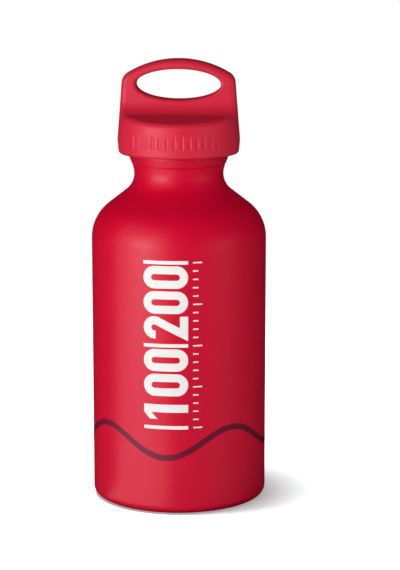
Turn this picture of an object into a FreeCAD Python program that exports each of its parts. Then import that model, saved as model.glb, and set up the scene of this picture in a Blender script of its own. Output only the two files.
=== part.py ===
import FreeCAD, Part
import math
import os

# Camping fuel bottle with a push-and-turn screw cap. Millimetres, +Z up.
# The origin is the middle of the base, on the surface that the bottle stands on.

# Bottle shell
body_diameter = 66.0
straight_wall_height = 99.68
body_wall = 0.9
base_wall = 1.4
base_corner_radius = 3.0
foot_ring_width = 6.0
punt_height = 3.5
shoulder_radius = 16.0
shoulder_slope = 52.2  # degrees from upright
neck_diameter = 33.6
neck_wall = 2.2
waist_radius = 7.9
flare_angle = 21.2
neck_groove_rise = 0.2
neck_groove_width = 0.8
neck_groove_depth = 0.3
collar_overhang = 2.0
collar_height = 3.7
lip_rounding = 0.8
lip_chamfer = 0.6

# Screw thread between the neck and the plug, right-hand
thread_pitch = 4.0
thread_depth = 1.2
thread_clearance = 0.3
thread_root_width = 1.9
thread_crest_width = 1.1
thread_start_angle = 35.0
neck_thread_lead = 1.9
neck_thread_turns = 2.4
plug_thread_turns = 1.8

# Sealing ring and plug
seal_height = 1.6
seal_width = 2.2
seal_rounding = 0.5
seal_inset = 0.3
seal_groove_depth = 0.6
seal_groove_clearance = 0.3
flange_thickness = 1.8
flange_overhang = 1.4
plug_reach = 13.7
plug_tip_chamfer = 1.0
plug_floor = 3.5
spring_pocket_clearance = 0.85
vent_slot_width = 2.6
vent_slot_depth = 0.4
vent_slot_count = 2

# Drive dogs on the plug and inside the overcap
dog_count = 12
dog_half_angle = 6.0
dog_inner_gap = 0.9
dog_outer_gap = 1.7
plug_dog_height = 1.6
cap_dog_height = 1.8
dog_rest_gap = 0.4

# Return spring, thrust washer and guide post
spring_wire = 0.9
spring_mean_diameter = 10.4
spring_turns = 6
spring_end_closing = 0.4  # how much finer the pitch is at the ends than on average
washer_thickness = 0.8
washer_rim = 0.65
post_diameter = 5.6
post_clearance = 0.3
post_length = 9.0

# Retaining ring
ring_thickness = 1.1
ring_play = 0.1
ring_collar_clearance = 0.4
ring_bite = 0.7
ring_split_width = 6.0

# Overcap
skirt_overlap = 2.8
skirt_running_gap = 0.4
skirt_wall = 2.43
skirt_draft = 5.0
widest_height = 5.2
skirt_edge_rounding = 1.3
cap_taper = 4.55
roof_thickness = 3.4
scoop_slope = 7.6
scoop_radius = 5.5
blade_thickness = 8.0
blade_height = 22.6
arch_rise = 6.6
arch_corner_radius = 4.6
edge_rounding = 2.2
loop_height = 11.3
loop_top_band = 3.85
loop_side_band = 5.45
loop_edge_rounding = 1.2
flute_count = 13
flute_spacing = 7.0  # degrees
flute_height = 5.0
flute_rise = 0.8  # middle of the flutes, above the widest line
flute_radius = 1.1
flute_depth = 0.4

# How deep ridges, dogs and the post root in the wall that they stand on
root_bite = 0.3
# How near a point counts as lying on a face
touch = 0.01

# Radii and levels of the bottle
body_radius = body_diameter / 2
neck_radius = neck_diameter / 2
collar_radius = neck_radius + collar_overhang
bore_radius = neck_radius - neck_wall
quarter = math.pi / 2
foot_r = body_radius - base_corner_radius
foot_inner_r = foot_r - foot_ring_width
dome_radius = (foot_inner_r ** 2 + punt_height ** 2) / (2 * punt_height)
dome_centre_z = punt_height - dome_radius
slope = math.radians(shoulder_slope)
flare = math.radians(flare_angle)
shoulder_end_r = body_radius - shoulder_radius * (1 - math.cos(slope))
shoulder_end_z = straight_wall_height + shoulder_radius * math.sin(slope)
waist_start_r = neck_radius + waist_radius * (1 - math.cos(slope))
waist_start_z = shoulder_end_z + (shoulder_end_r - waist_start_r) / math.tan(slope)
waist_z = waist_start_z + waist_radius * math.sin(slope)
flare_start_r = neck_radius + waist_radius * (1 - math.cos(flare))
flare_start_z = waist_z + waist_radius * math.sin(flare)
collar_z = flare_start_z + (collar_radius - flare_start_r) / math.tan(flare)
lip_z = collar_z + collar_height
inner_slope_r = shoulder_end_r - body_wall * math.cos(slope)
inner_slope_z = shoulder_end_z - body_wall * math.sin(slope)
bore_z = inner_slope_z + (inner_slope_r - bore_radius) / math.tan(slope)

# The ridges of the neck and of the plug stand in each other's grooves
neck_crest_radius = bore_radius - thread_depth
plug_core_radius = neck_crest_radius - thread_clearance
plug_crest_radius = bore_radius - thread_clearance
neck_thread_z = bore_z + neck_thread_lead
plug_thread_z = neck_thread_z + thread_pitch / 2

# Levels of the cap, stacked up from the lip
seal_inner_radius = bore_radius + lip_chamfer + seal_inset
seal_outer_radius = seal_inner_radius + seal_width
seal_top_z = lip_z + seal_height
flange_z = seal_top_z - seal_groove_depth
flange_top_z = flange_z + flange_thickness
flange_radius = collar_radius + flange_overhang
plug_tip_z = flange_z - plug_reach
pocket_z = plug_tip_z + plug_floor
pocket_radius = (spring_mean_diameter + spring_wire) / 2 + spring_pocket_clearance
plug_dog_top_z = flange_top_z + plug_dog_height
cap_dog_z = plug_dog_top_z + dog_rest_gap
roof_z = cap_dog_z + cap_dog_height
dog_inner_radius = bore_radius + dog_inner_gap
dog_outer_radius = flange_radius - dog_outer_gap
dog_step = 360 / dog_count
washer_z = roof_z - washer_thickness
washer_radius = (spring_mean_diameter + spring_wire) / 2 + washer_rim
post_radius = post_diameter / 2
ring_z = flange_z - ring_play - ring_thickness
ring_inner_radius = collar_radius + ring_collar_clearance
skirt_inner_radius = flange_radius + skirt_running_gap
ring_outer_radius = skirt_inner_radius + ring_bite

# Outer form of the overcap
skirt_z = lip_z - skirt_overlap
widest_z = skirt_z + widest_height
widest_radius = skirt_inner_radius + skirt_wall
skirt_foot_radius = widest_radius - widest_height * math.tan(math.radians(skirt_draft))
scoop_edge_z = roof_z + roof_thickness
scoop_fall = math.radians(scoop_slope)
blade_face_y = blade_thickness / 2
scoop_centre_y = blade_face_y + scoop_radius
scoop_centre_z = (scoop_edge_z + (widest_radius - scoop_centre_y) * math.tan(scoop_fall)
                  + scoop_radius / math.cos(scoop_fall))
crown_z = scoop_edge_z + blade_height
arch_foot_z = crown_z - 2 * arch_rise
loop_z = crown_z - loop_top_band - loop_height / 2


def cap_radius(z):
    return widest_radius - (z - widest_z) * math.tan(math.radians(cap_taper))


loop_half_width = cap_radius(loop_z) - loop_side_band


def point(r, z):
    return FreeCAD.Vector(r, 0, z)


def line(start, end):
    return Part.LineSegment(start, end).toShape()


def arc(start, middle, end):
    return Part.Arc(start, middle, end).toShape()


def round_arc(centre, radius, start_angle, end_angle):
    angles = (start_angle, (start_angle + end_angle) / 2, end_angle)
    return arc(*[centre + point(radius * math.cos(a), radius * math.sin(a)) for a in angles])


def polygon(points):
    return [line(a, b) for a, b in zip(points, points[1:] + points[:1])]


def spun(shape, degrees):
    return shape.rotated(FreeCAD.Vector(0, 0, 0), FreeCAD.Vector(0, 0, 1), degrees)


def turned(outline):
    # A solid of revolution about Z from a closed outline in the XZ plane.
    face = Part.Face(Part.Wire(outline))
    return face.revolve(FreeCAD.Vector(0, 0, 0), FreeCAD.Vector(0, 0, 1), 360)


def tube(inner_radius, outer_radius, low, high):
    foot = FreeCAD.Vector(0, 0, low)
    outer = Part.makeCylinder(outer_radius, high - low, foot)
    return outer.cut(Part.makeCylinder(inner_radius, high - low, foot))


def middle_of(edge):
    return edge.valueAt((edge.FirstParameter + edge.LastParameter) / 2)


def thread_ridge(root_radius, crest_radius, low, turns):
    # A right-hand helical ridge of trapezoid section.
    root = thread_root_width / 2
    crest = thread_crest_width / 2
    section = Part.Wire(polygon([
        point(root_radius, -root), point(root_radius, root),
        point(crest_radius, crest), point(crest_radius, -crest)]))
    helix = Part.makeHelix(thread_pitch, thread_pitch * turns, (root_radius + crest_radius) / 2)
    ridge = Part.Wire(helix).makePipeShell([section], True, True)
    return spun(ridge.translated(FreeCAD.Vector(0, 0, low)), thread_start_angle)


def dogs(low, high, first_angle):
    # A ring of drive dogs, each a short sector of a tube.
    ring = tube(dog_inner_radius, dog_outer_radius, low, high)
    wedge = Part.makeCylinder(flange_radius, high - low, FreeCAD.Vector(0, 0, low),
                              FreeCAD.Vector(0, 0, 1), 2 * dog_half_angle)
    dog = spun(ring.common(wedge), first_angle - dog_half_angle)
    return [spun(dog, i * dog_step) for i in range(dog_count)]


def shoulder_arc(radius, start_angle, end_angle):
    centre = point(body_radius - shoulder_radius, straight_wall_height)
    return round_arc(centre, radius, start_angle, end_angle)


def flare_point(rise):
    return point(flare_start_r + rise * math.tan(flare), flare_start_z + rise)


def bottle_outside():
    # From the middle of the base up the outside and over the lip.
    dome_edge = math.acos(foot_inner_r / dome_radius)
    waist_centre = point(neck_radius + waist_radius, waist_z)
    groove_low = flare_point(neck_groove_rise)
    groove_top = flare_point(neck_groove_rise + neck_groove_width)
    groove_root = (groove_low + groove_top) * 0.5 - point(neck_groove_depth, 0)
    lip_centre = point(collar_radius - lip_rounding, lip_z - lip_rounding)
    return [
        round_arc(point(0, dome_centre_z), dome_radius, quarter, dome_edge),
        line(point(foot_inner_r, 0), point(foot_r, 0)),
        round_arc(point(foot_r, base_corner_radius), base_corner_radius, -quarter, 0),
        line(point(body_radius, base_corner_radius), point(body_radius, straight_wall_height)),
        shoulder_arc(shoulder_radius, 0, slope),
        line(point(shoulder_end_r, shoulder_end_z), point(waist_start_r, waist_start_z)),
        round_arc(waist_centre, waist_radius, math.pi + slope, math.pi - flare),
        line(flare_point(0), groove_low),
        line(groove_low, groove_root),
        line(groove_root, groove_top),
        line(groove_top, point(collar_radius, collar_z)),
        line(point(collar_radius, collar_z), point(collar_radius, lip_z - lip_rounding)),
        round_arc(lip_centre, lip_rounding, 0, quarter),
        line(point(collar_radius - lip_rounding, lip_z), point(bore_radius + lip_chamfer, lip_z)),
    ]


def bottle_inside():
    # From the lip down the bore and the inside to the middle of the base.
    inner_dome_radius = dome_radius + base_wall
    inner_dome_edge = math.asin((base_wall - dome_centre_z) / inner_dome_radius)
    inner_dome_r = inner_dome_radius * math.cos(inner_dome_edge)
    inner_r = body_radius - body_wall
    inner_corner_r = inner_r - base_corner_radius
    inner_corner_z = base_wall + base_corner_radius
    return [
        line(point(bore_radius + lip_chamfer, lip_z), point(bore_radius, lip_z - lip_chamfer)),
        line(point(bore_radius, lip_z - lip_chamfer), point(bore_radius, bore_z)),
        line(point(bore_radius, bore_z), point(inner_slope_r, inner_slope_z)),
        shoulder_arc(shoulder_radius - body_wall, slope, 0),
        line(point(inner_r, straight_wall_height), point(inner_r, inner_corner_z)),
        round_arc(point(inner_corner_r, inner_corner_z), base_corner_radius, 0, -quarter),
        line(point(inner_corner_r, base_wall), point(inner_dome_r, base_wall)),
        round_arc(point(0, dome_centre_z), inner_dome_radius, inner_dome_edge, quarter),
        line(point(0, punt_height + base_wall), point(0, punt_height)),
    ]


def bottle_shell():
    shell = turned(bottle_outside() + bottle_inside())
    ridge = thread_ridge(bore_radius + root_bite, neck_crest_radius, neck_thread_z, neck_thread_turns)
    return shell.fuse(ridge)


def sealing_ring():
    ring = tube(seal_inner_radius, seal_outer_radius, lip_z, seal_top_z)
    rims = [e for e in ring.Edges if e.Curve.TypeId == "Part::GeomCircle"]
    return ring.makeFillet(seal_rounding, rims)


def threaded_plug():
    groove_inner = seal_inner_radius - seal_groove_clearance
    groove_outer = seal_outer_radius + seal_groove_clearance
    plug = turned(polygon([
        point(0, plug_tip_z), point(plug_core_radius - plug_tip_chamfer, plug_tip_z),
        point(plug_core_radius, plug_tip_z + plug_tip_chamfer), point(plug_core_radius, flange_z),
        point(groove_inner, flange_z), point(groove_inner, seal_top_z),
        point(groove_outer, seal_top_z), point(groove_outer, flange_z),
        point(flange_radius, flange_z), point(flange_radius, flange_top_z),
        point(pocket_radius, flange_top_z), point(pocket_radius, pocket_z), point(0, pocket_z)]))
    ridge = thread_ridge(plug_core_radius - root_bite, plug_crest_radius, plug_thread_z, plug_thread_turns)
    slot_inner = plug_core_radius - vent_slot_depth
    slot = Part.makeBox(bore_radius - slot_inner, vent_slot_width, flange_z - plug_tip_z,
                        FreeCAD.Vector(slot_inner, -vent_slot_width / 2, plug_tip_z))
    slots = [spun(slot, (i + 0.5) * 360 / vent_slot_count) for i in range(vent_slot_count)]
    return plug.fuse(ridge).cut(slots).fuse(dogs(flange_top_z - root_bite, plug_dog_top_z, 0))


def coil_point(turn, low, high):
    # Place and direction on the coil's centre line, whose pitch closes up towards both ends.
    angle = 2 * math.pi * turn
    share = turn / spring_turns
    rise = share - spring_end_closing * math.sin(2 * math.pi * share) / (2 * math.pi)
    climb = (1 - spring_end_closing * math.cos(2 * math.pi * share)) * (high - low) / spring_turns
    radius = spring_mean_diameter / 2
    around = 2 * math.pi * radius
    place = FreeCAD.Vector(radius * math.cos(angle), radius * math.sin(angle), low + rise * (high - low))
    direction = FreeCAD.Vector(-around * math.sin(angle), around * math.cos(angle), climb)
    return place, direction.normalize()


def tangent_arc(start, direction, end):
    chord = end - start
    along = FreeCAD.Vector(chord).normalize()
    side = direction - along * direction.dot(along)
    bulge = chord.Length / 2 * math.tan(direction.getAngle(along) / 2)
    return arc(start, start + chord * 0.5 + side.normalize() * bulge, end)


def biarc(start, start_direction, end, end_direction):
    # Two arcs from one point to the next that meet each other smoothly.
    chord = end - start
    both = start_direction + end_direction
    bend = 2 * (1 - start_direction.dot(end_direction))
    reach = (math.sqrt(chord.dot(both) ** 2 + bend * chord.dot(chord)) - chord.dot(both)) / bend
    joint = (start + start_direction * reach + end - end_direction * reach) * 0.5
    return [tangent_arc(start, start_direction, joint), tangent_arc(end, end_direction * -1, joint)]


def return_spring():
    # One unbroken wire in quarter turns, with its two ends ground flat.
    ground = spring_wire / 4
    steps = [coil_point(i / 4, pocket_z + ground, washer_z - ground) for i in range(4 * spring_turns + 1)]
    edges = []
    for (start, start_direction), (end, end_direction) in zip(steps, steps[1:]):
        edges += biarc(start, start_direction, end, end_direction)
    section = Part.Wire(Part.makeCircle(spring_wire / 2, *steps[0]))
    coil = Part.Wire(Part.__sortEdges__(edges)).makePipeShell([section], True, False)
    gaps = [(above - below).Length - spring_wire for (below, _), (above, _) in zip(steps, steps[4:])]
    print("return_spring: least gap between turns %.2f mm" % min(gaps))
    seats = Part.makeCylinder(pocket_radius, washer_z - pocket_z, FreeCAD.Vector(0, 0, pocket_z))
    return coil.common(seats)


def thrust_washer():
    return tube(post_radius + post_clearance, washer_radius, washer_z, roof_z)


def retaining_ring():
    ring = tube(ring_inner_radius, ring_outer_radius, ring_z, ring_z + ring_thickness)
    split = Part.makeBox(ring_split_width, ring_outer_radius, ring_thickness,
                         FreeCAD.Vector(-ring_split_width / 2, 0, ring_z))
    return ring.cut(split)


def cap_block():
    # A drafted skirt and a tapered block under an arch.
    top_z = crown_z + arch_rise
    reach = 2 * widest_radius
    block = turned(polygon([
        point(0, skirt_z), point(skirt_foot_radius, skirt_z), point(widest_radius, widest_z),
        point(cap_radius(top_z), top_z), point(0, top_z)]))
    half_width = cap_radius(crown_z - arch_rise)
    arch_radius = (half_width ** 2 + arch_rise ** 2) / (2 * arch_rise)
    arch = Part.makeCylinder(arch_radius, 2 * reach, FreeCAD.Vector(0, -reach, crown_z - arch_radius),
                             FreeCAD.Vector(0, 1, 0))
    sky = Part.makeBox(2 * reach, 2 * reach, top_z - arch_foot_z,
                       FreeCAD.Vector(-reach, -reach, arch_foot_z))
    return spun(block, 90).cut(sky.cut(arch))


def scoop_point(angle):
    return scoop_centre_y + scoop_radius * math.cos(angle), scoop_centre_z + scoop_radius * math.sin(angle)


def scoop_floor_z(y):
    low_y, low_z = scoop_point(math.pi * 1.5 - scoop_fall)
    return low_z - (y - low_y) * math.tan(scoop_fall)


def thumb_scoop(side):
    # Blade face, round inner corner and sloping floor, cut across the block on one side.
    reach = 2 * widest_radius
    top_z = crown_z + arch_rise
    floor_angle = math.pi * 1.5 - scoop_fall

    def at(y, z):
        return FreeCAD.Vector(-reach, side * y, z)

    face_top = at(blade_face_y, top_z)
    face_foot = at(blade_face_y, scoop_centre_z)
    floor_start = at(*scoop_point(floor_angle))
    floor_end = at(reach, scoop_floor_z(reach))
    outline = [
        line(face_top, face_foot),
        arc(face_foot, at(*scoop_point((math.pi + floor_angle) / 2)), floor_start),
        line(floor_start, floor_end),
        line(floor_end, at(reach, top_z)),
        line(at(reach, top_z), face_top),
    ]
    return Part.Face(Part.Wire(outline)).extrude(FreeCAD.Vector(2 * reach, 0, 0))


def is_arch_corner(edge):
    place = middle_of(edge)
    return place.z > arch_foot_z and abs(place.y) < touch and abs(place.x) > loop_half_width


def is_scoop_outline(edge):
    place = middle_of(edge)
    y = abs(place.y)
    if edge.Curve.TypeId == "Part::GeomLine" and abs(place.x) < touch:
        return False
    if place.z > scoop_centre_z:
        return abs(y - blade_face_y) < touch
    if y > scoop_point(math.pi * 1.5 - scoop_fall)[0]:
        return abs(place.z - scoop_floor_z(y)) < touch
    return abs(math.hypot(y - scoop_centre_y, place.z - scoop_centre_z) - scoop_radius) < touch


def is_skirt_foot(edge):
    return abs(middle_of(edge).z - skirt_z) < touch


def is_loop_edge(edge):
    place = middle_of(edge)
    inside = abs(place.x) < loop_half_width + touch and abs(place.z - loop_z) < loop_height / 2 + touch
    return inside and abs(abs(place.y) - blade_face_y) < touch


def loop_hole():
    face = Part.Face(Part.Wire(Part.Ellipse(FreeCAD.Vector(0, 0, 0), loop_half_width, loop_height / 2).toShape()))
    face.rotate(FreeCAD.Vector(0, 0, 0), FreeCAD.Vector(1, 0, 0), 90)
    face.translate(FreeCAD.Vector(0, blade_thickness, loop_z))
    return face.extrude(FreeCAD.Vector(0, -2 * blade_thickness, 0))


def cap_cavity():
    # The hollow of the skirt, with the groove that holds the retaining ring.
    mouth_z = skirt_z - skirt_overlap
    groove_low = ring_z - ring_play
    groove_high = ring_z + ring_thickness + ring_play
    groove_r = ring_outer_radius + ring_play
    return turned(polygon([
        point(0, mouth_z), point(skirt_inner_radius, mouth_z), point(skirt_inner_radius, groove_low),
        point(groove_r, groove_low), point(groove_r, groove_high), point(skirt_inner_radius, groove_high),
        point(skirt_inner_radius, roof_z), point(0, roof_z)]))


def grip_flutes():
    # Short upright flutes on the front and the back of the skirt.
    flute = Part.makeCylinder(flute_radius, flute_height,
                              FreeCAD.Vector(widest_radius + flute_radius - flute_depth, 0,
                                             widest_z + flute_rise - flute_height / 2))
    first = -flute_spacing * (flute_count - 1) / 2
    return [spun(flute, side + first + i * flute_spacing) for side in (90, 270) for i in range(flute_count)]


def cap_shell():
    cap = cap_block().cut([thumb_scoop(-1), thumb_scoop(1)])
    cap = cap.makeFillet(arch_corner_radius, [e for e in cap.Edges if is_arch_corner(e)])
    cap = cap.makeFillet(edge_rounding, [e for e in cap.Edges if is_scoop_outline(e)])
    cap = cap.makeFillet(skirt_edge_rounding, [e for e in cap.Edges if is_skirt_foot(e)])
    cap = cap.cut(loop_hole())
    cap = cap.makeFillet(loop_edge_rounding, [e for e in cap.Edges if is_loop_edge(e)])
    cap = cap.cut([cap_cavity()] + grip_flutes())
    post = Part.makeCylinder(post_radius, post_length + root_bite, FreeCAD.Vector(0, 0, roof_z - post_length))
    return cap.fuse([post] + dogs(cap_dog_z, roof_z + root_bite, dog_step / 2))


def brimful_litres():
    # What the bottle holds up to its lip: the filled-up form less the shell.
    lid = [line(point(bore_radius + lip_chamfer, lip_z), point(0, lip_z)), line(point(0, lip_z), point(0, punt_height))]
    return (turned(bottle_outside() + lid).Volume - turned(bottle_outside() + bottle_inside()).Volume) / 1e6


pieces = (bottle_shell, sealing_ring, threaded_plug, return_spring, thrust_washer, cap_shell, retaining_ring)
os.makedirs("parts", exist_ok=True)
for piece in pieces:
    shape = piece()
    shape.Solids[0].exportStep("parts/%s.step" % piece.__name__)
    print("%s: %d solid, valid %s, %.2f cm3" % (piece.__name__, len(shape.Solids), shape.isValid(),
                                                shape.Volume / 1000))
print("height %.1f mm, brimful %.3f l" % (crown_z, brimful_litres()))
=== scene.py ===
# Camping fuel bottle: finishes, printed fill scale, return spring and studio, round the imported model.
import math

import bmesh
import bpy
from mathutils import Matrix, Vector


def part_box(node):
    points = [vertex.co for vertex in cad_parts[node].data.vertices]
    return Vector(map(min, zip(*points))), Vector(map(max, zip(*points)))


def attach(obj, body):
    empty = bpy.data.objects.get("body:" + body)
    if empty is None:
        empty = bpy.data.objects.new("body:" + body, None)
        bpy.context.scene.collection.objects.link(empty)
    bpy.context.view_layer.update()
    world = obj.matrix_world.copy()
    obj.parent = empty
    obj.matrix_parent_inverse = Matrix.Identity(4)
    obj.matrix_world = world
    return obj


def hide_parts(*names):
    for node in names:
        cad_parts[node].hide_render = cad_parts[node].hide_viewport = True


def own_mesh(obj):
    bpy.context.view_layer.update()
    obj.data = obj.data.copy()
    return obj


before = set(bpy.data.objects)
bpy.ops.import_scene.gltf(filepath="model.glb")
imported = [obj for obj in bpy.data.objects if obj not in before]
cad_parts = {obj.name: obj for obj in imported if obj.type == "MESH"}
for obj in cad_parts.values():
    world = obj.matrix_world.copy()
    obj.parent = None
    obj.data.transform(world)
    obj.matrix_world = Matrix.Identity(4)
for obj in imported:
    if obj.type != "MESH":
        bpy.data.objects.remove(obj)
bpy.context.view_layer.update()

scene = bpy.context.scene
scene.view_settings.view_transform = "Standard"
mm = 0.001

bottleLow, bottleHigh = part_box("bottle_shell")
wallRadius, lipZ = bottleHigh.x, bottleHigh.z
middleZ = (bottleLow.z + bottleHigh.z) / 2
print("frame loaded:", ", ".join(sorted(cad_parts)))


def around(azimuth, distance, height):
    # A place round the bottle. Azimuth 0 faces the flat side of the loop, and it grows to the right.
    turn = math.radians(azimuth)
    return Vector((distance * math.sin(turn), -distance * math.cos(turn), height))


# Camera: a little above the bottle and 4 degrees to the right of the loop's flat side.
cameraSpot = {
    "azimuth": 4.0,
    "distance": 0.736,
    "height": 0.219,
    "pitchDown": 10.63,
    "aimRight": 0.62,
    "lens": 124.16,
    "sensor": 36.0,
}


def setCamera(spot):
    data = bpy.data.cameras.new("studioCamera")
    data.lens = spot["lens"]
    data.sensor_width = spot["sensor"]
    camera = bpy.data.objects.new("studioCamera", data)
    camera.location = around(spot["azimuth"], spot["distance"], spot["height"])
    tilt = math.radians(90 - spot["pitchDown"])
    camera.rotation_euler = (tilt, 0, math.radians(spot["azimuth"] - spot["aimRight"]))
    scene.collection.objects.link(camera)
    scene.camera = camera


setCamera(cameraSpot)
print("camera set")


# Helpers for materials and pieces
def hexToLinear(code):
    channels = [int(code[i:i + 2], 16) / 255 for i in (1, 3, 5)]
    return [c / 12.92 if c <= 0.04045 else ((c + 0.055) / 1.055) ** 2.4 for c in channels] + [1.0]


def addNode(tree, kind, inputs=None, links=None, **settings):
    node = tree.nodes.new("ShaderNode" + kind)
    for name, value in settings.items():
        setattr(node, name, value)
    for socket, value in (inputs or {}).items():
        node.inputs[socket].default_value = value
    for socket, source in (links or {}).items():
        tree.links.new(source, node.inputs[socket])
    return node


def newMaterial(name):
    material = bpy.data.materials.new(name)
    material.use_nodes = True
    tree = material.node_tree
    return material, tree, tree.nodes["Principled BSDF"]


def newPiece(name, mesh, material, body):
    piece = bpy.data.objects.new(name, mesh)
    scene.collection.objects.link(piece)
    mesh.materials.clear()
    mesh.materials.append(material)
    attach(piece, body)
    return piece


def perMetre(sizeMm):
    return 1 / (sizeMm * mm)  # noise scale that gives blotches of this size


def blotches(tree, place, sizeMm, detail):
    size = {"Scale": perMetre(sizeMm), "Detail": detail}
    return addNode(tree, "TexNoise", size, {"Vector": place}).outputs["Fac"]


def twoShades(tree, look, share):
    # A colour mix takes its share in socket 0 and its colours in 6 and 7, and gives its result in 2.
    colours = {6: hexToLinear(look["shade"]), 7: hexToLinear(look["colour"])}
    return addNode(tree, "Mix", colours, {0: share}, data_type="RGBA").outputs[2]


def unevenGloss(tree, look, pattern):
    noiseLow, noiseHigh = 0.3, 0.7  # most of a noise texture's values lie between these
    low, high = look["roughness"]
    spread = {"From Min": noiseLow, "From Max": noiseHigh, "To Min": low, "To Max": high}
    return addNode(tree, "MapRange", spread, {"Value": pattern}).outputs["Result"]


def relief(tree, pattern, depthMm):
    return addNode(tree, "Bump", {"Distance": depthMm * mm}, {"Height": pattern}).outputs["Normal"]


def mottle(tree, shader, place, look):
    # Two close shades in soft blotches, a slightly uneven gloss and a fine relief, all at real sizes.
    shades = twoShades(tree, look, blotches(tree, place, look["cloudMm"], detail=2))
    gloss = unevenGloss(tree, look, blotches(tree, place, look["glossMm"], detail=3))
    grain = relief(tree, blotches(tree, place, look["grainMm"], detail=2), look["grainDepthMm"])
    tree.links.new(shades, shader.inputs["Base Color"])
    tree.links.new(gloss, shader.inputs["Roughness"])
    tree.links.new(grain, shader.inputs["Normal"])
    return shades


# Satin lacquer sprayed on aluminium: an even deep red with a broad soft gleam and very fine orange peel.
# The ring that the bottle stands on is rubbed through to the metal in specks.
lacquerLook = {
    "colour": "#D20030",
    "shade": "#CA002C",
    "cloudMm": 14,
    "roughness": (0.38, 0.46),
    "glossMm": 2.5,
    "grainMm": 1.1,  # real orange peel is nearer 0.5 mm, drawn coarser to show
    "grainDepthMm": 0.006,
    "specular": 0.5,
    "rubbedColour": "#B4B6B9",
    "rubbedSpeckMm": 1.3,
    "rubbedHeightMm": 0.25,
    "rubbedFrom": 0.5,  # noise value at which a speck begins
    "rubbedFull": 0.56,
}


def lacqueredAluminium(look):
    material, tree, shader = newMaterial("lacqueredAluminium")
    shader.inputs["Specular IOR Level"].default_value = look["specular"]
    place = addNode(tree, "TexCoord").outputs["Object"]
    shades = mottle(tree, shader, place, look)
    height = addNode(tree, "SeparateXYZ", links={"Vector": place}).outputs["Z"]
    fade = {"From Min": 0, "From Max": look["rubbedHeightMm"] * mm, "To Min": 1, "To Max": 0}
    nearFloor = addNode(tree, "MapRange", fade, {"Value": height}).outputs["Result"]
    specks = blotches(tree, place, look["rubbedSpeckMm"], detail=4)
    edge = {"From Min": look["rubbedFrom"], "From Max": look["rubbedFull"]}
    worn = addNode(tree, "MapRange", edge, {"Value": specks}).outputs["Result"]
    rubbed = addNode(tree, "Math", links={0: nearFloor, 1: worn}, operation="MULTIPLY").outputs["Value"]
    metal = {7: hexToLinear(look["rubbedColour"])}
    colour = addNode(tree, "Mix", metal, {0: rubbed, 6: shades}, data_type="RGBA").outputs[2]
    tree.links.new(colour, shader.inputs["Base Color"])
    tree.links.new(rubbed, shader.inputs["Metallic"])
    return material


# Bare aluminium inside the bottle and on its lip: pale metal with the fine rings of the turning tool.
bareMetalLook = {
    "colour": "#D3D5D8",
    "shade": "#BFC2C6",
    "ringMm": 0.6,  # tool marks are nearer 0.2 mm, drawn coarser to show
    "ringDepthMm": 0.004,
    "roughness": (0.28, 0.4),
    "metallic": 0.55,  # under 1, because a full metal would mirror only the studio's felt and look black
}


def turnedAluminium(look):
    material, tree, shader = newMaterial("turnedAluminium")
    shader.inputs["Metallic"].default_value = look["metallic"]
    place = addNode(tree, "TexCoord").outputs["Object"]
    height = addNode(tree, "SeparateXYZ", links={"Vector": place}).outputs["Z"]
    size = {"Scale": perMetre(look["ringMm"]), "Detail": 3}
    rings = addNode(tree, "TexNoise", size, {"W": height}, noise_dimensions="1D").outputs["Fac"]
    tree.links.new(twoShades(tree, look, rings), shader.inputs["Base Color"])
    tree.links.new(unevenGloss(tree, look, rings), shader.inputs["Roughness"])
    tree.links.new(relief(tree, rings, look["ringDepthMm"]), shader.inputs["Normal"])
    return material


# Moulded polypropylene of the overcap: a red a touch milkier than the lacquer, matte from a grained mould.
capLook = {
    "colour": "#D92642",
    "shade": "#D1213C",
    "cloudMm": 9,
    "roughness": (0.42, 0.52),
    "glossMm": 1.6,
    "grainMm": 0.45,  # the mould's grain is nearer 0.2 mm, drawn coarser to show
    "grainDepthMm": 0.01,
    "specular": 0.55,
}

# Moulded acetal of the plug: near black, a little shinier than the overcap.
plugLook = {
    "colour": "#26272A",
    "shade": "#1F2022",
    "cloudMm": 6,
    "roughness": (0.34, 0.44),
    "glossMm": 1.5,
    "grainMm": 0.5,
    "grainDepthMm": 0.006,
    "specular": 0.5,
}

# Natural acetal of the thrust washer: milky white with a waxy surface.
washerLook = {
    "colour": "#ECE8DE",
    "shade": "#E2DDD0",
    "cloudMm": 4,
    "roughness": (0.32, 0.42),
    "glossMm": 1.2,
    "grainMm": 0.6,
    "grainDepthMm": 0.004,
    "specular": 0.5,
}

# Nitrile rubber of the sealing ring: soft black with a dry, dusty surface.
sealLook = {
    "colour": "#212122",
    "shade": "#18181A",
    "cloudMm": 3,
    "roughness": (0.62, 0.78),
    "glossMm": 0.9,
    "grainMm": 0.35,
    "grainDepthMm": 0.012,
    "specular": 0.35,
}

# Screen inks: thin, opaque, a little more matte than the lacquer, with the faint relief of the mesh.
whiteInkLook = {
    "colour": "#F4F2EF",
    "shade": "#ECE9E5",
    "cloudMm": 5,
    "roughness": (0.45, 0.55),
    "glossMm": 1.2,
    "grainMm": 0.5,  # mesh threads are about 0.1 mm apart, drawn coarser to show
    "grainDepthMm": 0.006,
    "specular": 0.35,
}
maroonInkLook = {
    "colour": "#70142E",
    "shade": "#681029",
    "cloudMm": 5,
    "roughness": (0.42, 0.52),
    "glossMm": 1.2,
    "grainMm": 0.5,
    "grainDepthMm": 0.006,
    "specular": 0.35,
}


def mouldedOrPrinted(name, look):
    material, tree, shader = newMaterial(name)
    shader.inputs["Specular IOR Level"].default_value = look["specular"]
    mottle(tree, shader, addNode(tree, "TexCoord").outputs["Object"], look)
    return material


# Drawn spring steel: bright wire with fine lines left by the die.
steelLook = {
    "colour": "#B8BCC1",
    "shade": "#9DA1A6",
    "cloudMm": 1.2,
    "roughness": (0.22, 0.34),
    "glossMm": 0.6,
    "grainMm": 0.3,
    "grainDepthMm": 0.004,
    "metallic": 0.6,  # under 1 for the same reason as the bare aluminium
}


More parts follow.
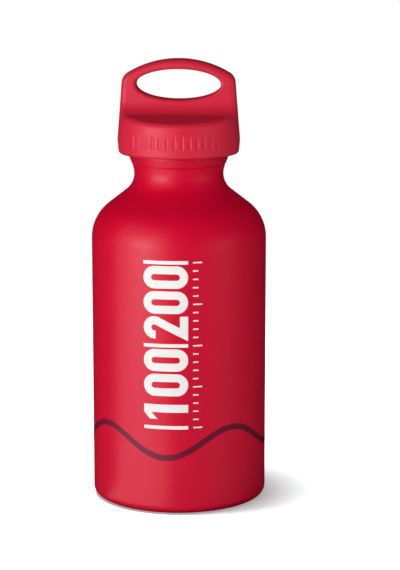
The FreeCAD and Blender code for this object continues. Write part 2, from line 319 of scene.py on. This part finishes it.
def drawnSteel(look):
    material, tree, shader = newMaterial("drawnSpringSteel")
    shader.inputs["Metallic"].default_value = look["metallic"]
    mottle(tree, shader, addNode(tree, "TexCoord").outputs["Object"], look)
    return material


lacquer = lacqueredAluminium(lacquerLook)
bareMetal = turnedAluminium(bareMetalLook)
capPlastic = mouldedOrPrinted("mouldedPolypropylene", capLook)
plugPlastic = mouldedOrPrinted("mouldedAcetal", plugLook)
washerPlastic = mouldedOrPrinted("naturalAcetal", washerLook)
sealRubber = mouldedOrPrinted("nitrileRubber", sealLook)
whiteInk = mouldedOrPrinted("whiteScreenInk", whiteInkLook)
maroonInk = mouldedOrPrinted("maroonScreenInk", maroonInkLook)
springSteel = drawnSteel(steelLook)
print("materials made")

# Finishes on the carried-over pieces
finishes = {
    "bottle_shell": [lacquer, bareMetal],
    "sealing_ring": [sealRubber],
    "threaded_plug": [plugPlastic],
    "thrust_washer": [washerPlastic],
    "cap_shell": [capPlastic],
    "retaining_ring": [springSteel],
}
for nodeName, materials in finishes.items():
    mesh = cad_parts[nodeName].data
    mesh.materials.clear()
    for material in materials:
        mesh.materials.append(material)

# The lacquer stops at the lip: the mouth, the thread and the inside are bare.
mouth = {
    "lipDepthMm": 0.1,
    "lipFacing": 0.9,  # least upward part of a lip face's direction
    "boreMm": 15.0,  # nothing lacquered lies nearer the axis than this, above the base
    "baseTopMm": 8.0,
    "baseFacing": 0.3,  # least upward or downward part of a base face's direction
}


def isBare(face):
    centre, normal = face.center, face.normal
    if centre.z > lipZ - mouth["lipDepthMm"] * mm and normal.z > mouth["lipFacing"]:
        return True
    if centre.z < mouth["baseTopMm"] * mm and abs(normal.z) > mouth["baseFacing"]:
        return normal.z > 0
    inward = centre.x * normal.x + centre.y * normal.y < 0
    return inward or math.hypot(centre.x, centre.y) < mouth["boreMm"] * mm


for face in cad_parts["bottle_shell"].data.polygons:
    face.material_index = 1 if isBare(face) else 0
print("finishes on the CAD pieces")

# Printed fill scale and stripe. The scale's marks stand at the levels of 100, 200 and 300 ml of fuel.
scale = {
    "leftDegrees": -19.2,
    "rightDegrees": 9.7,
    "firstMl": 100,
    "lastMl": 300,
    "lineMl": 100,
    "lineMm": 1.3,
    "zeroMm": 2.54,  # level that the dished base would fill to if it were flat
    "mlPerMm": 3.2371,
    "numbers": (100, 200),
    "numberStartMm": 2.6,
    "numberLengthMm": 27.0,
    "digitStrokeMm": 3.0,
    "digitGapMm": 1.0,
    "tickMl": 10,
    "tickStartMm": 7.4,  # to the right of the bottle's front line
    "tickMm": 2.0,
    "tickWidthMm": 0.5,
    "longTickMm": 3.4,
    "longTickEvery": 5,
}
numerals = {
    "stemLeft": 0.35,  # share of the stroke that lies left of the middle of a 1
    "flagReach": 0.85,  # of the stroke
    "flagDrop": 0.9,  # of the flag's reach
    "flagRoot": 0.95,  # of the stroke, down from the top of the stem
    "hookDrop": 0.15,  # of the stroke, straight down at the start of a 2
    "bowEndDegrees": -20,
    "footStart": 0.95,  # of the half width
    "bowSteps": 16,
}
stripe = {
    "middleMm": 27.0,
    "swingMm": 5.2,
    "waves": 4,
    "lowDegrees": -4.7,
    "widthMm": 2.2,
    "steps": 288,
}
ink = {
    "proudMm": 0.03,
    "rootMm": 0.03,
    "stripMm": 0.8,
    "cutSnapMm": 0.00001,
    "weldMm": 0.001,
    "sharpDegrees": 40,
}


def ribbon(flat, path, width, closed=False, leads=False):
    # A band of even width along a path, with mitred corners, on the unrolled wall.
    # With leads, the first and last points only give the ends their direction.
    count = len(path)
    edges = []
    for i, point in enumerate(path):
        before = path[i - 1] if closed or i > 0 else point
        after = path[(i + 1) % count] if closed or i < count - 1 else point
        ways = [(b - a).normalized() for a, b in ((before, point), (point, after)) if a != b]
        sides = [Vector((-way.y, way.x)) for way in ways]
        side = sum(sides, Vector((0, 0))).normalized()
        reach = width / 2 / side.dot(sides[0])
        edges.append((point + side * reach, point - side * reach))
    if leads:
        edges = edges[1:-1]
    corners = [[flat.verts.new((p.x, p.y, 0)) for p in pair] for pair in edges]
    for here, there in zip(corners, corners[1:] + (corners[:1] if closed else [])):
        flat.faces.new((here[0], here[1], there[1], there[0]))


def polygon(flat, points):
    flat.faces.new([flat.verts.new((p.x, p.y, 0)) for p in points])


def bow(centre, radius, startDegrees, endDegrees):
    steps = numerals["bowSteps"]
    sweep = endDegrees - startDegrees
    angles = [math.radians(startDegrees + sweep * i / steps) for i in range(steps + 1)]
    return [centre + radius * Vector((math.cos(a), math.sin(a))) for a in angles]


def drawDigit(flat, digit, width, height, across, level):
    # Plain block numerals that read upward, round a middle point on the unrolled wall.
    def turned(points):
        return [Vector((across - p.y, level + p.x)) for p in points]

    stroke = scale["digitStrokeMm"]
    halfWidth, halfHeight = (width - stroke) / 2, (height - stroke) / 2
    rise, top = halfHeight - halfWidth, height / 2
    if digit == "0":
        path = bow(Vector((0, rise)), halfWidth, 0, 180) + bow(Vector((0, -rise)), halfWidth, 180, 360)
        ribbon(flat, turned(path), stroke, closed=True)
    elif digit == "1":
        left = -stroke * numerals["stemLeft"]
        right = left + stroke
        reach = stroke * numerals["flagReach"]
        tip, tipTop = left - reach, top - reach * numerals["flagDrop"]
        outline = [(left, -top), (right, -top), (right, top), (left, top), (tip, tipTop),
                   (tip, tipTop - stroke), (left, top - stroke * numerals["flagRoot"])]
        polygon(flat, turned(Vector(p) for p in outline))
    elif digit == "2":
        path = [Vector((-halfWidth, rise - stroke * numerals["hookDrop"]))]
        path += bow(Vector((0, rise)), halfWidth, 180, numerals["bowEndDegrees"])
        path += [Vector((-halfWidth * numerals["footStart"], -halfHeight)), Vector((width / 2, -halfHeight))]
        ribbon(flat, turned(path), stroke)


def levelMm(ml):
    return scale["zeroMm"] + ml / scale["mlPerMm"]


def arcMm(degrees):
    return math.radians(degrees) * wallRadius / mm


def drawScale(flat):
    left, right = arcMm(scale["leftDegrees"]), arcMm(scale["rightDegrees"])
    for ml in range(scale["firstMl"], scale["lastMl"] + 1, scale["lineMl"]):
        ribbon(flat, [Vector((left, levelMm(ml))), Vector((right, levelMm(ml)))], scale["lineMm"])
    gap = scale["digitGapMm"]
    for number in scale["numbers"]:
        text = str(number)
        pitch = (scale["numberLengthMm"] + gap) / len(text)
        for i, digit in enumerate(text):
            level = levelMm(number) + scale["numberStartMm"] + pitch * (i + 0.5) - gap / 2
            drawDigit(flat, digit, pitch - gap, right - left, (left + right) / 2, level)
    for i, ml in enumerate(range(scale["firstMl"], scale["lastMl"] + 1, scale["tickMl"])):
        length = scale["longTickMm"] if i % scale["longTickEvery"] == 0 else scale["tickMm"]
        start = Vector((scale["tickStartMm"], levelMm(ml)))
        ribbon(flat, [start, start + Vector((length, 0))], scale["tickWidthMm"])


def drawStripe(flat):
    path = []
    for i in range(-1, stripe["steps"] + 2):
        turn = 2 * math.pi * (i / stripe["steps"] - 0.5)
        phase = stripe["waves"] * (turn - math.radians(stripe["lowDegrees"]))
        level = stripe["middleMm"] - stripe["swingMm"] * math.cos(phase)
        path.append(Vector((turn * wallRadius / mm, level)))
    ribbon(flat, path, stripe["widthMm"], leads=True)


def cutIntoStrips(flat):
    # Upright strips, so that the print follows the round wall.
    low, high = min(v.co.x for v in flat.verts), max(v.co.x for v in flat.verts)
    for i in range(1, int((high - low) / ink["stripMm"])):
        everything = flat.verts[:] + flat.edges[:] + flat.faces[:]
        cut = (low + i * ink["stripMm"], 0, 0)
        bmesh.ops.bisect_plane(flat, geom=everything, dist=ink["cutSnapMm"], plane_co=cut, plane_no=(1, 0, 0))


def rollUp(flat):
    # Gives the flat print its thickness, from a root under the wall's face, and lays it round the wall.
    front = bmesh.ops.extrude_face_region(flat, geom=flat.faces[:])["geom"]
    proud = {v for v in front if isinstance(v, bmesh.types.BMVert)}
    for vert in flat.verts:
        radius = wallRadius + (ink["proudMm"] if vert in proud else -ink["rootMm"]) * mm
        turn = vert.co.x * mm / wallRadius
        vert.co = Vector((radius * math.sin(turn), -radius * math.cos(turn), vert.co.y * mm))
    bmesh.ops.remove_doubles(flat, verts=flat.verts[:], dist=ink["weldMm"] * mm)
    # Where two ends meet, inner walls are left: faces whose every edge is shared by more than two.
    joins = [f for f in flat.faces if all(len(e.link_faces) > 2 for e in f.edges)]
    bmesh.ops.delete(flat, geom=joins, context="FACES_ONLY")
    bmesh.ops.recalc_face_normals(flat, faces=flat.faces[:])


def printOnWall(name, draw, material, inStrips):
    flat = bmesh.new()
    draw(flat)
    if inStrips:
        cutIntoStrips(flat)
    rollUp(flat)
    mesh = bpy.data.meshes.new(name)
    flat.to_mesh(mesh)
    flat.free()
    mesh.shade_smooth()
    mesh.set_sharp_from_angle(angle=math.radians(ink["sharpDegrees"]))
    newPiece(name, mesh, material, "bottle")


printOnWall("fill_scale", drawScale, whiteInk, inStrips=True)
printOnWall("wave_stripe", drawStripe, maroonInk, inStrips=False)  # its own steps are fine enough
print("print on the wall")

# Return spring: one wire whose pitch closes up towards both ends. The real one shortens as the overcap is
# pushed down; this one is wound once, to the length of the modelled spring.
spring = {
    "wireMm": 0.9,
    "meanDiameterMm": 10.4,
    "turns": 6,
    "endClosing": 0.4,
    "pointsPerTurn": 40,
    "wireSides": 16,
    "sharpDegrees": 60,
}


def windCoil(look, low, high):
    wire, radius = look["wireMm"] * mm / 2, look["meanDiameterMm"] * mm / 2
    data = bpy.data.curves.new("return_coil", "CURVE")
    data.dimensions = "3D"
    data.bevel_depth = wire
    data.bevel_resolution = look["wireSides"] // 4
    data.use_fill_caps = True
    line = data.splines.new("POLY")
    count = look["turns"] * look["pointsPerTurn"]
    line.points.add(count)
    for i, point in enumerate(line.points):
        share = i / count
        turn = 2 * math.pi * look["turns"] * share
        rise = share - look["endClosing"] * math.sin(2 * math.pi * share) / (2 * math.pi)
        level = low + wire + rise * (high - low - 2 * wire)
        point.co = (radius * math.cos(turn), radius * math.sin(turn), level, 1)
    holder = bpy.data.objects.new("return_coil", data)
    scene.collection.objects.link(holder)
    bpy.context.view_layer.update()
    mesh = bpy.data.meshes.new_from_object(holder.evaluated_get(bpy.context.evaluated_depsgraph_get()))
    bpy.data.objects.remove(holder)
    mesh.shade_smooth()
    mesh.set_sharp_from_angle(angle=math.radians(look["sharpDegrees"]))
    return mesh


def fitSpring(look):
    low, high = (corner.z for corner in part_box("return_spring"))
    piece = newPiece("return_coil", windCoil(look, low, high), springSteel, "plug")
    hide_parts("return_spring")
    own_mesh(piece)


fitSpring(spring)
print("return spring wound")

# Studio, in metres: white paper with lamps of its own, which set its shadow apart from the light on the
# bottle. A low key lamp at the front left gives the upright gleam, and a weaker one fills from the right.
# Near lamps that reflections don't see light the front, the sides and the back, and one high at the back
# lights what faces up. Black felt that only reflections see keeps the edges and the scoops dark.
paper = {
    "size": 12.0,
    "colour": "#EAF4F4",  # a touch cool, against the red that the bottle throws on its shadow
    "bounceColour": "#8C8C8C",
    "glow": 0.35,
    "underMm": 0.02,  # clear of the foot, so that the two faces do not lie in one plane
    "nearRadius": 0.3,
    "farRadius": 0.6,
}
ambient = {
    "colour": "#FFFFFF",
    "strength": 0.06,
}
nearLamp = {"distance": 0.35, "height": 0.165, "width": 0.16, "tall": 0.16, "inReflections": False}
forPaper = {"inReflections": False, "onlyPaper": True}
lamps = {
    "keyLamp": {"azimuth": -42, "distance": 0.6, "height": 0.115, "width": 0.36, "tall": 0.23, "watts": 1.2},
    "fillLamp": {"azimuth": 60, "distance": 1.0, "height": 0.11, "width": 0.6, "tall": 0.2, "watts": 0.5},
    "leftLamp": {**nearLamp, "azimuth": -100, "watts": 0.41},
    "frontLamp": {**nearLamp, "azimuth": 0, "height": 0.19, "watts": 0.75},
    "rightLamp": {**nearLamp, "azimuth": 100, "watts": 0.23},
    "rearLamp": {**nearLamp, "azimuth": 180, "watts": 0.4},
    "backLamp": {"azimuth": 180, "distance": 1.0, "height": 0.85, "width": 0.5, "tall": 0.4, "watts": 3,
                 "inReflections": False},
    "paperLamp": {**forPaper, "azimuth": -78, "distance": 0.145, "height": 1.0, "width": 0.15, "tall": 0.36,
                  "watts": 14.5},
    "domeLamp": {**forPaper, "azimuth": 0, "distance": 0, "height": 1.2, "width": 2, "tall": 2, "watts": 2.2},
}
# Black felt: so dark and matte that a gloss which mirrors it shows only its own colour.
felt = {
    "colour": "#050505",
    "roughness": 1,
    "specular": 0,
    "steps": 48,
}
upright = {"lowRadius": 0.06, "low": 0.0006, "highRadius": 0.06, "high": 0.4}
wholeTurn = {"fromDegrees": 0, "toDegrees": 360}
screens = {
    "feltRight": {**upright, "fromDegrees": -6, "toDegrees": 160},
    "feltLeft": {**upright, "fromDegrees": 200, "toDegrees": 298},
    "feltBack": {**upright, "fromDegrees": 160, "toDegrees": 200, "low": 0.14},
    "feltMat": {**upright, "fromDegrees": -6, "toDegrees": 298, "highRadius": 0.036, "high": 0.0006},
    "feltFoot": {**wholeTurn, "lowRadius": 0.038, "low": 0.0004, "highRadius": 0.028, "high": 0.0004},
    "feltRoof": {**wholeTurn, "lowRadius": 0.6, "low": 0.6, "highRadius": 0, "high": 0.6},
}


def seenByEye(tree):
    # 1 for what the camera sees straight, in a reflection or through glass, 0 for light that bounces on
    path = addNode(tree, "LightPath").outputs
    seen = path["Is Camera Ray"]
    for ray in ("Is Glossy Ray", "Is Transmission Ray"):
        seen = addNode(tree, "Math", links={0: seen, 1: path[ray]}, operation="MAXIMUM").outputs[0]
    return seen


def whitePaper(look):
    # To the eye, lit paper that turns plain white away from the bottle. To bounced light, a mid grey.
    material, tree, shader = newMaterial("whitePaper")
    tree.nodes.remove(shader)
    matte = addNode(tree, "BsdfDiffuse", {"Color": hexToLinear(look["colour"])}).outputs[0]
    glow = addNode(tree, "Emission", {"Strength": look["glow"]}).outputs[0]
    lit = addNode(tree, "AddShader", links={0: matte, 1: glow}).outputs[0]
    white = addNode(tree, "Emission", {"Strength": 1}).outputs[0]
    place = addNode(tree, "TexCoord").outputs["Object"]
    away = addNode(tree, "VectorMath", links={0: place}, operation="LENGTH").outputs["Value"]
    span = {"From Min": look["nearRadius"], "From Max": look["farRadius"]}
    far = addNode(tree, "MapRange", span, {"Value": away}).outputs[0]
    shown = addNode(tree, "MixShader", links={0: far, 1: lit, 2: white}).outputs[0]
    bounce = addNode(tree, "BsdfDiffuse", {"Color": hexToLinear(look["bounceColour"])}).outputs[0]
    surface = addNode(tree, "MixShader", links={0: seenByEye(tree), 1: bounce, 2: shown}).outputs[0]
    tree.links.new(surface, tree.nodes["Material Output"].inputs["Surface"])
    return material


def layPaper(look):
    half = look["size"] / 2
    corners = [(-half, -half, 0), (half, -half, 0), (half, half, 0), (-half, half, 0)]
    mesh = bpy.data.meshes.new("paper")
    mesh.from_pydata(corners, [], [(0, 1, 2, 3)])
    mesh.materials.append(whitePaper(look))
    sheet = bpy.data.objects.new("paper", mesh)
    sheet.location.z = -look["underMm"] * mm
    scene.collection.objects.link(sheet)
    return sheet


def hangSky(look):
    world = bpy.data.worlds.new("studioWorld")
    scene.world = world
    world.use_nodes = True
    tree = world.node_tree
    dim = tree.nodes["Background"]
    dim.inputs["Color"].default_value = hexToLinear(look["colour"])
    dim.inputs["Strength"].default_value = look["strength"]
    white = addNode(tree, "Background", {"Color": hexToLinear(look["colour"]), "Strength": 1}).outputs[0]
    both = addNode(tree, "MixShader", links={0: seenByEye(tree), 1: dim.outputs[0], 2: white}).outputs[0]
    tree.links.new(both, tree.nodes["World Output"].inputs["Surface"])


def hangLamp(name, look):
    data = bpy.data.lights.new(name, "AREA")
    data.shape = "RECTANGLE"
    data.size, data.size_y = look["width"], look["tall"]
    data.energy = look["watts"]
    lamp = bpy.data.objects.new(name, data)
    lamp.location = around(look["azimuth"], look["distance"], look["height"])
    aim = Vector((0, 0, middleZ)) - lamp.location
    lamp.rotation_euler = aim.to_track_quat("-Z", "Y").to_euler()
    lamp.visible_camera = False
    lamp.visible_glossy = look.get("inReflections", True)
    data.cycles.use_multiple_importance_sampling = lamp.visible_glossy  # else a hidden lamp still gleams
    scene.collection.objects.link(lamp)
    lamp.light_linking.receiver_collection = paperOnly if look.get("onlyPaper") else allButPaper


def blackFelt(look):
    material, _, shader = newMaterial("blackFelt")
    shader.inputs["Base Color"].default_value = hexToLinear(look["colour"])
    shader.inputs["Roughness"].default_value = look["roughness"]
    shader.inputs["Specular IOR Level"].default_value = look["specular"]
    return material


def standScreen(name, look, cloth):
    # A band of cloth round the bottle: upright, or flat where low and high are the same.
    steps = felt["steps"]
    sweep = look["toDegrees"] - look["fromDegrees"]
    turns = [look["fromDegrees"] + sweep * i / steps for i in range(steps + 1)]
    rim = [around(turn, look["lowRadius"], look["low"]) for turn in turns]
    rim += [around(turn, look["highRadius"], look["high"]) for turn in turns]
    mesh = bpy.data.meshes.new(name)
    mesh.from_pydata(rim, [], [(i, i + 1, i + steps + 2, i + steps + 1) for i in range(steps)])
    mesh.materials.append(cloth)
    screen = bpy.data.objects.new(name, mesh)
    screen.visible_camera = False
    screen.visible_diffuse = False
    screen.visible_shadow = False
    screen.visible_transmission = False
    scene.collection.objects.link(screen)


paperOnly = bpy.data.collections.new("paperOnly")
allButPaper = bpy.data.collections.new("allButPaper")
paperSheet = layPaper(paper)
for receivers in (paperOnly, allButPaper):
    receivers.objects.link(paperSheet)
allButPaper.collection_objects[0].light_linking.link_state = "EXCLUDE"
hangSky(ambient)
for name, look in lamps.items():
    hangLamp(name, look)
feltCloth = blackFelt(felt)
for name, look in screens.items():
    standScreen(name, look, feltCloth)
print("studio set")
